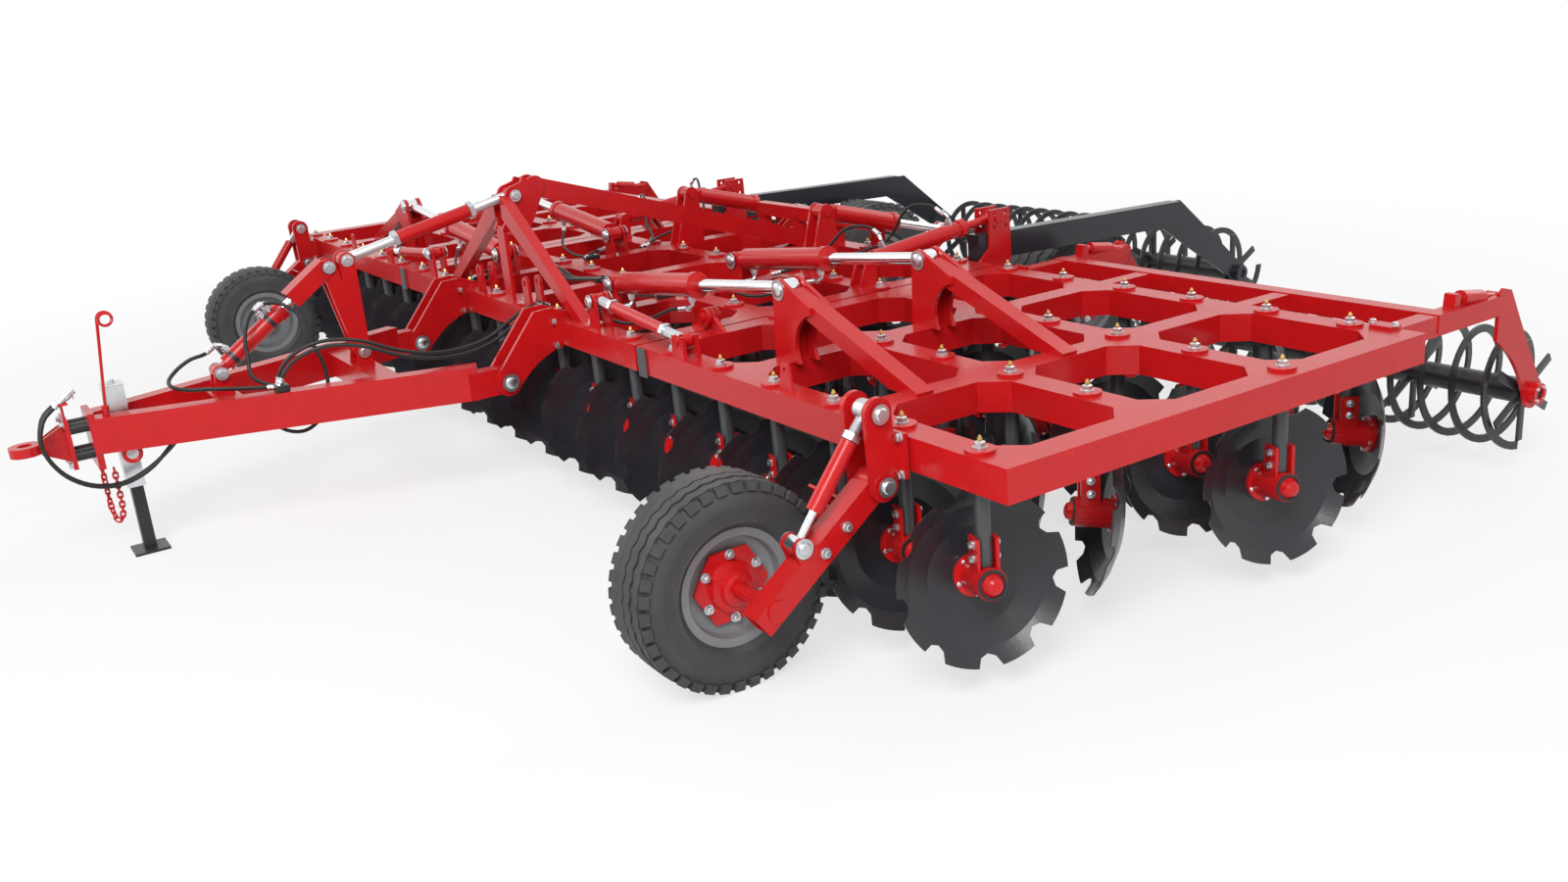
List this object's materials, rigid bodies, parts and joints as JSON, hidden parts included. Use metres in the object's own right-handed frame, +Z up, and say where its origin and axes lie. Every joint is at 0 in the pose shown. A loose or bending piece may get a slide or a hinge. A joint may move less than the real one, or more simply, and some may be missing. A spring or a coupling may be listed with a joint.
{
  "type": "disc harrow",
  "caption": "Trailed disc harrow with folding wings, rows of dished notched discs on legs, gauge wheels, transport axle, cage rollers and an adjustable drawbar.",
  "frame": {"origin": "on the ground below the middle of the overall box", "axes": "+X towards the left wing, -Y the way of travel towards the hitch eye, +Z up"},
  "size_m": [7.98, 7.07, 1.505],
  "materials": {
    "red_paint": "gloss",
    "dark_paint": "satin",
    "black_paint": "satin",
    "disc_steel": "gloss",
    "chrome_rod": "polished",
    "zinc_steel": "satin",
    "rim_paint": "satin",
    "tyre_rubber": "matt"
  },
  "bodies": {
    "centre": {"centre_frame": "red_paint", "front_tower": "red_paint", "centre_legs": "dark_paint", "centre_hubs": "red_paint", "centre_discs": "disc_steel", "roller_booms": "dark_paint", "boom_rams": "red_paint"},
    "centre_roller": {"centre_roller": "black_paint"},
    "left_wing": {"left_wing_frame": "red_paint", "left_legs": "dark_paint", "left_hubs": "red_paint", "left_discs": "disc_steel", "left_uprights": "red_paint", "left_roller_frame": "red_paint", "left_gauge_bracket": "red_paint"},
    "left_roller": {"left_roller": "black_paint"},
    "left_fold_barrels": {"left_fold_barrels": "red_paint"},
    "left_fold_rods": {"left_fold_rods": "chrome_rod"},
    "left_stop_link": {"left_stop_link": "red_paint"},
    "left_gauge_arm": {"left_gauge_arm": "red_paint"},
    "left_gauge_barrel": {"left_gauge_barrel": "red_paint"},
    "left_gauge_rod": {"left_gauge_rod": "chrome_rod"},
    "left_gauge_wheel": {"left_gauge_tyre": "tyre_rubber", "left_gauge_rim": "rim_paint"},
    "right_wing": {"right_wing_frame": "red_paint", "right_legs": "dark_paint", "right_hubs": "red_paint", "right_discs": "disc_steel", "right_uprights": "red_paint", "right_roller_frame": "red_paint", "right_gauge_bracket": "red_paint"},
    "right_roller": {"right_roller": "black_paint"},
    "right_fold_barrels": {"right_fold_barrels": "red_paint"},
    "right_fold_rods": {"right_fold_rods": "chrome_rod"},
    "right_stop_link": {"right_stop_link": "red_paint"},
    "right_gauge_arm": {"right_gauge_arm": "red_paint"},
    "right_gauge_barrel": {"right_gauge_barrel": "red_paint"},
    "right_gauge_rod": {"right_gauge_rod": "chrome_rod"},
    "right_gauge_wheel": {"right_gauge_tyre": "tyre_rubber", "right_gauge_rim": "rim_paint"},
    "drawbar": {"drawbar": "red_paint", "hitch_eye": "red_paint", "hitch_buffers": "black_paint", "jack_tube": "zinc_steel"},
    "jack_leg": {"jack_leg": "black_paint"},
    "lift_lever": {"lift_lever": "red_paint"},
    "lift_barrel": {"lift_barrel": "red_paint"},
    "lift_rod": {"lift_rod": "chrome_rod"},
    "top_link": {"top_link": "red_paint"},
    "axle": {"axle": "red_paint"},
    "axle_barrels": {"axle_barrels": "red_paint"},
    "axle_rods": {"axle_rods": "chrome_rod"},
    "left_road_wheel": {"left_road_tyre": "tyre_rubber", "left_road_rim": "rim_paint"},
    "right_road_wheel": {"right_road_tyre": "tyre_rubber", "right_road_rim": "rim_paint"}
  },
  "joints": [
    {"name": "left_fold", "type": "hinge", "parent": "centre", "child": "left_wing", "pos_m": [1.55, 0, 0.925], "axis": [0, -1, 0], "range_deg": [0, 90]},
    {"name": "left_fold_barrel_swing", "type": "hinge", "parent": "centre", "child": "left_fold_barrels", "pos_m": [0.74, 0, 0.992], "axis": [0, -1, 0], "range_deg": [-1, 45.34]},
    {"name": "left_fold_rod_slide", "type": "slide", "parent": "left_fold_barrels", "child": "left_fold_rods", "axis": [0.9943, 0, 0.1062], "range_m": [-0.6811, 0.002]},
    {"name": "left_stop_link_swing", "type": "hinge", "parent": "centre", "child": "left_stop_link", "pos_m": [1.1, -1.035, 1.005], "axis": [0, -1, 0], "range_deg": [-0.5, 90.5]},
    {"name": "left_gauge_arm_pivot", "type": "hinge", "parent": "left_wing", "child": "left_gauge_arm", "pos_m": [3.42, -1.19, 0.708], "axis": [-1, 0, 0], "range_deg": [0, 20]},
    {"name": "left_gauge_barrel_swing", "type": "hinge", "parent": "left_wing", "child": "left_gauge_barrel", "pos_m": [3.42, -1.2, 0.965], "axis": [-1, 0, 0], "range_deg": [-1, 13.62]},
    {"name": "left_gauge_rod_slide", "type": "slide", "parent": "left_gauge_barrel", "child": "left_gauge_rod", "axis": [0, -0.6235, -0.7818], "range_m": [-0.0676, 0.002]},
    {"name": "left_gauge_wheel_spin", "type": "hinge", "parent": "left_gauge_arm", "child": "left_gauge_wheel", "pos_m": [3.105, -1.635, 0.385], "axis": [1, 0, 0], "continuous": true},
    {"name": "left_roller_spin", "type": "hinge", "parent": "left_wing", "child": "left_roller", "pos_m": [2.775, 2.105, 0.37], "axis": [1, 0, 0], "continuous": true},
    {"name": "right_fold", "type": "hinge", "parent": "centre", "child": "right_wing", "pos_m": [-1.55, 0, 0.925], "axis": [0, 1, 0], "range_deg": [0, 90]},
    {"name": "right_fold_barrel_swing", "type": "hinge", "parent": "centre", "child": "right_fold_barrels", "pos_m": [-0.74, 0, 0.992], "axis": [0, 1, 0], "range_deg": [-1, 45.34]},
    {"name": "right_fold_rod_slide", "type": "slide", "parent": "right_fold_barrels", "child": "right_fold_rods", "axis": [-0.9943, 0, 0.1062], "range_m": [-0.6811, 0.002]},
    {"name": "right_stop_link_swing", "type": "hinge", "parent": "centre", "child": "right_stop_link", "pos_m": [-1.1, -1.035, 1.005], "axis": [0, 1, 0], "range_deg": [-0.5, 90.5]},
    {"name": "right_gauge_arm_pivot", "type": "hinge", "parent": "right_wing", "child": "right_gauge_arm", "pos_m": [-3.632, -1.19, 0.708], "axis": [-1, 0, 0], "range_deg": [0, 20]},
    {"name": "right_gauge_barrel_swing", "type": "hinge", "parent": "right_wing", "child": "right_gauge_barrel", "pos_m": [-3.632, -1.2, 0.965], "axis": [-1, 0, 0], "range_deg": [-1, 13.62]},
    {"name": "right_gauge_rod_slide", "type": "slide", "parent": "right_gauge_barrel", "child": "right_gauge_rod", "axis": [0, -0.6235, -0.7818], "range_m": [-0.0676, 0.002]},
    {"name": "right_gauge_wheel_spin", "type": "hinge", "parent": "right_gauge_arm", "child": "right_gauge_wheel", "pos_m": [-3.317, -1.635, 0.385], "axis": [1, 0, 0], "continuous": true},
    {"name": "right_roller_spin", "type": "hinge", "parent": "right_wing", "child": "right_roller", "pos_m": [-2.775, 2.105, 0.37], "axis": [1, 0, 0], "continuous": true},
    {"name": "centre_roller_spin", "type": "hinge", "parent": "centre", "child": "centre_roller", "pos_m": [0, 3.265, 0.42], "axis": [1, 0, 0], "continuous": true},
    {"name": "drawbar_hinge", "type": "hinge", "parent": "centre", "child": "drawbar", "pos_m": [0, -1.385, 0.605], "axis": [1, 0, 0], "range_deg": [-4, 10]},
    {"name": "jack_slide", "type": "slide", "parent": "drawbar", "child": "jack_leg", "axis": [0, 0, 1], "range_m": [0, 0.3]},
    {"name": "lift_lever_pivot", "type": "hinge", "parent": "drawbar", "child": "lift_lever", "pos_m": [0, -1.885, 0.76], "axis": [1, 0, 0], "range_deg": [-15.88, 6.65]},
    {"name": "top_link_swing", "type": "hinge", "parent": "centre", "child": "top_link", "pos_m": [0, -0.962, 1.418], "axis": [1, 0, 0], "range_deg": [-2.77, 6.17]},
    {"name": "lift_barrel_swing", "type": "hinge", "parent": "drawbar", "child": "lift_barrel", "pos_m": [0, -2.576, 0.79], "axis": [1, 0, 0], "range_deg": [-4.65, 2.16]},
    {"name": "lift_rod_slide", "type": "slide", "parent": "lift_barrel", "child": "lift_rod", "axis": [0, 0.8196, 0.573], "range_m": [-0.0454, 0.1106]},
    {"name": "axle_pivot", "type": "hinge", "parent": "centre", "child": "axle", "pos_m": [0, 1.195, 0.805], "axis": [-1, 0, 0], "range_deg": [0, 30]},
    {"name": "axle_barrel_swing", "type": "hinge", "parent": "centre", "child": "axle_barrels", "pos_m": [0, 0.525, 1.165], "axis": [-1, 0, 0], "range_deg": [-0.5, 6.1]},
    {"name": "axle_rod_slide", "type": "slide", "parent": "axle_barrels", "child": "axle_rods", "axis": [0, 0.9653, -0.2612], "range_m": [-0.002, 0.0741]},
    {"name": "left_road_wheel_spin", "type": "hinge", "parent": "axle", "child": "left_road_wheel", "pos_m": [1.01, 2.115, 0.435], "axis": [1, 0, 0], "continuous": true},
    {"name": "right_road_wheel_spin", "type": "hinge", "parent": "axle", "child": "right_road_wheel", "pos_m": [-1.01, 2.115, 0.435], "axis": [1, 0, 0], "continuous": true}
  ],
  "couplings": [
    {"joint": "left_fold_barrel_swing", "follows": "left_fold", "ratio": 0.49269},
    {"joint": "left_fold_rod_slide", "follows": "left_fold", "m_per_rad": -0.43236},
    {"joint": "left_stop_link_swing", "follows": "left_fold", "ratio": 1},
    {"joint": "left_gauge_barrel_swing", "follows": "left_gauge_arm_pivot", "ratio": 0.63111},
    {"joint": "left_gauge_rod_slide", "follows": "left_gauge_arm_pivot", "m_per_rad": -0.18787},
    {"joint": "right_fold_barrel_swing", "follows": "right_fold", "ratio": 0.49269},
    {"joint": "right_fold_rod_slide", "follows": "right_fold", "m_per_rad": -0.43236},
    {"joint": "right_stop_link_swing", "follows": "right_fold", "ratio": 1},
    {"joint": "right_gauge_barrel_swing", "follows": "right_gauge_arm_pivot", "ratio": 0.63111},
    {"joint": "right_gauge_rod_slide", "follows": "right_gauge_arm_pivot", "m_per_rad": -0.18787},
    {"joint": "lift_lever_pivot", "follows": "drawbar_hinge", "ratio": -1.5383},
    {"joint": "top_link_swing", "follows": "drawbar_hinge", "ratio": 0.56677},
    {"joint": "lift_barrel_swing", "follows": "drawbar_hinge", "ratio": -0.41525},
    {"joint": "lift_rod_slide", "follows": "drawbar_hinge", "m_per_rad": 0.622},
    {"joint": "axle_barrel_swing", "follows": "axle_pivot", "ratio": 0.18676},
    {"joint": "axle_rod_slide", "follows": "axle_pivot", "m_per_rad": 0.13765}
  ]
}
